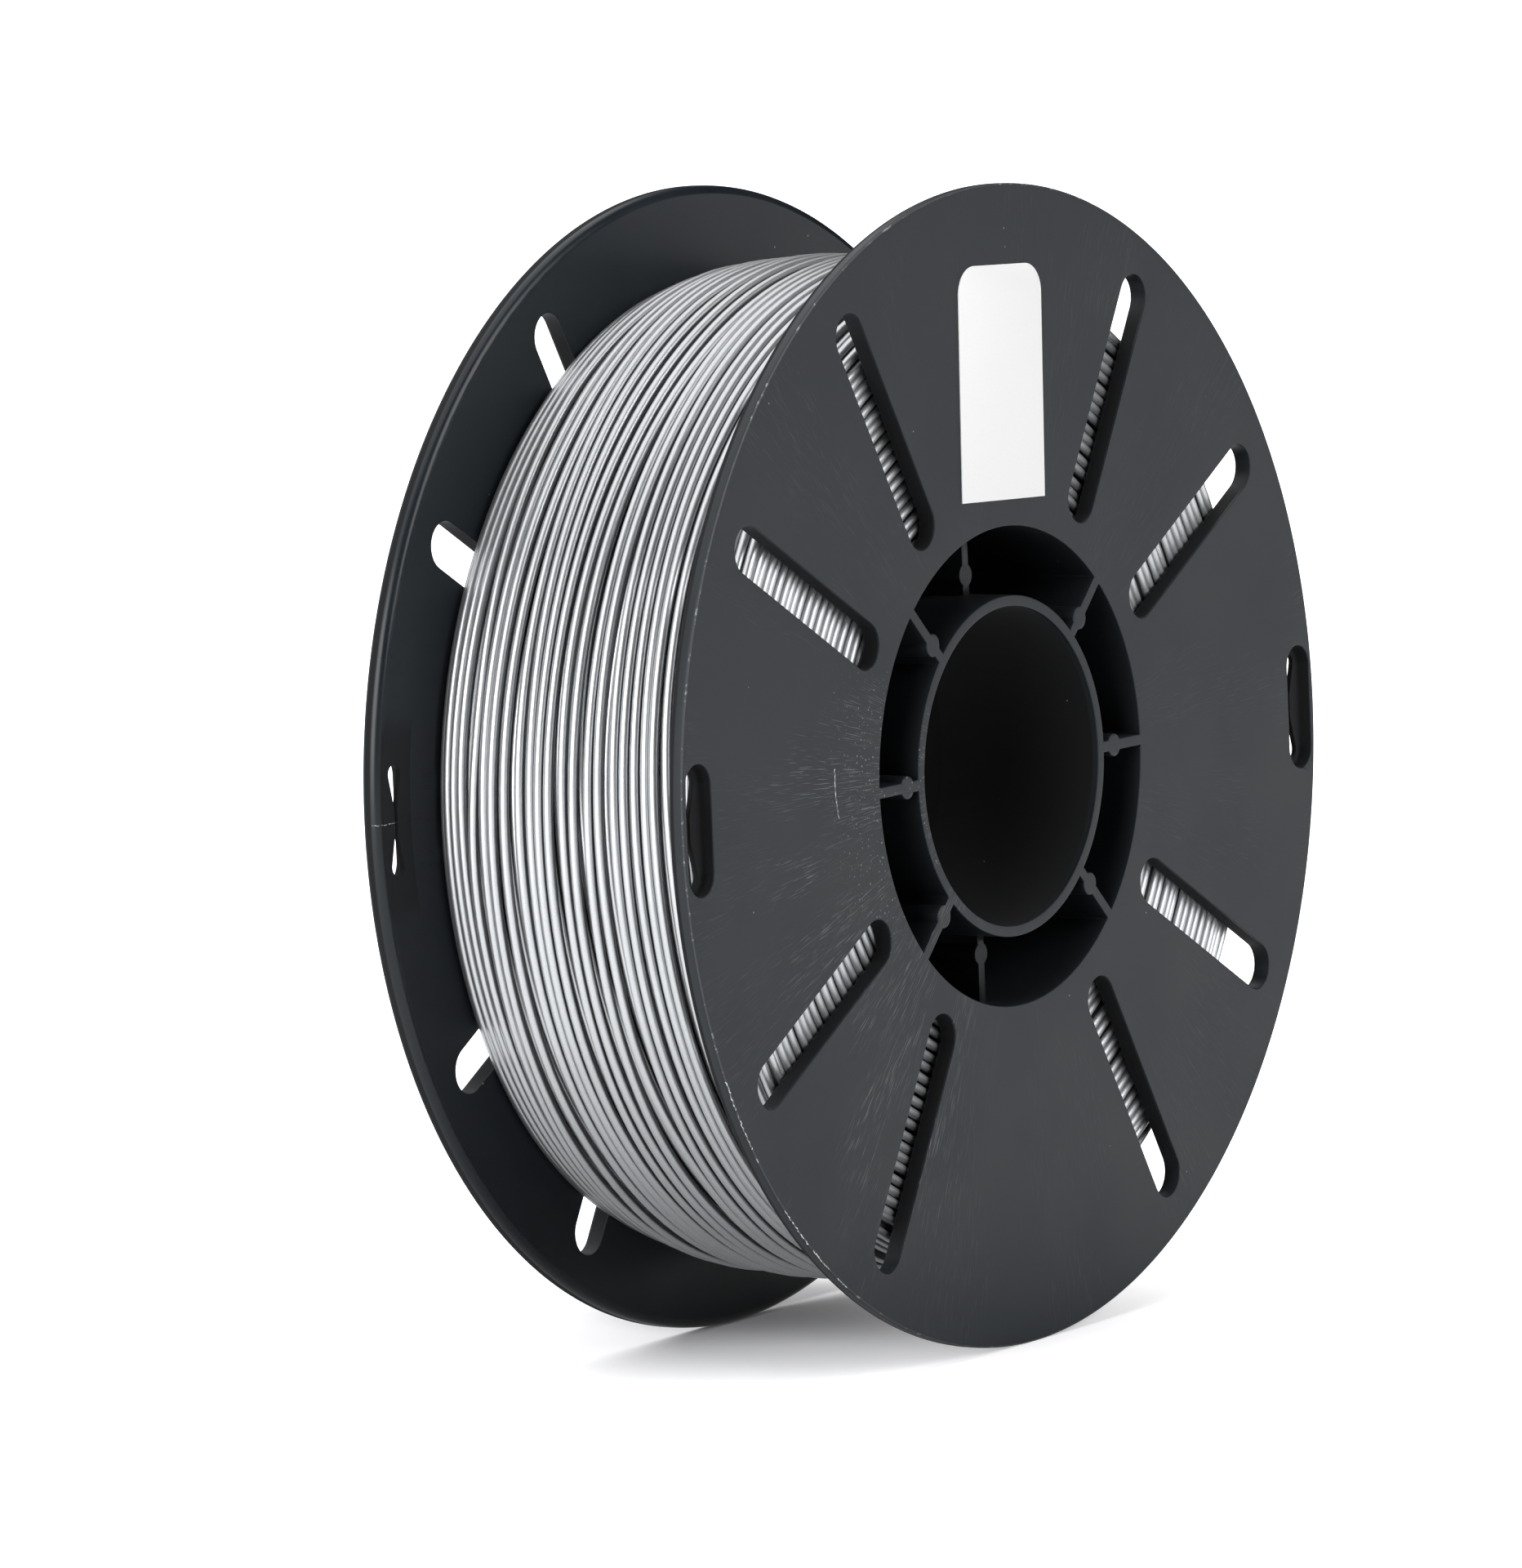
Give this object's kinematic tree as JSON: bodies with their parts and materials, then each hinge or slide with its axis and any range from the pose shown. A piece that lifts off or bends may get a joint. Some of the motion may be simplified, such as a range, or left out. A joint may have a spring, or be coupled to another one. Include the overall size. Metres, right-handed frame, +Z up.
{
  "type": "filament spool",
  "caption": "Plastic spool of two flanged halves with an open webbed hub, slotted flanges and rim clips, wound full with a single printing strand.",
  "frame": {"origin": "middle of the spindle bore, halfway between the two flange faces", "axes": "+Y along the bore from the labelled near flange to the far flange, +Z up with the spool standing on both rims, +X through the filament clips"},
  "size_m": [0.2, 0.0652, 0.2],
  "materials": {
    "spool_plastic": "satin charcoal",
    "filament": "metallic silver grey",
    "label": "coated white"
  },
  "bodies": {
    "root": {"near_half": "spool_plastic", "far_half": "spool_plastic", "filament_core": "filament", "filament_turns": "filament", "label": "label"}
  },
  "joints": []
}
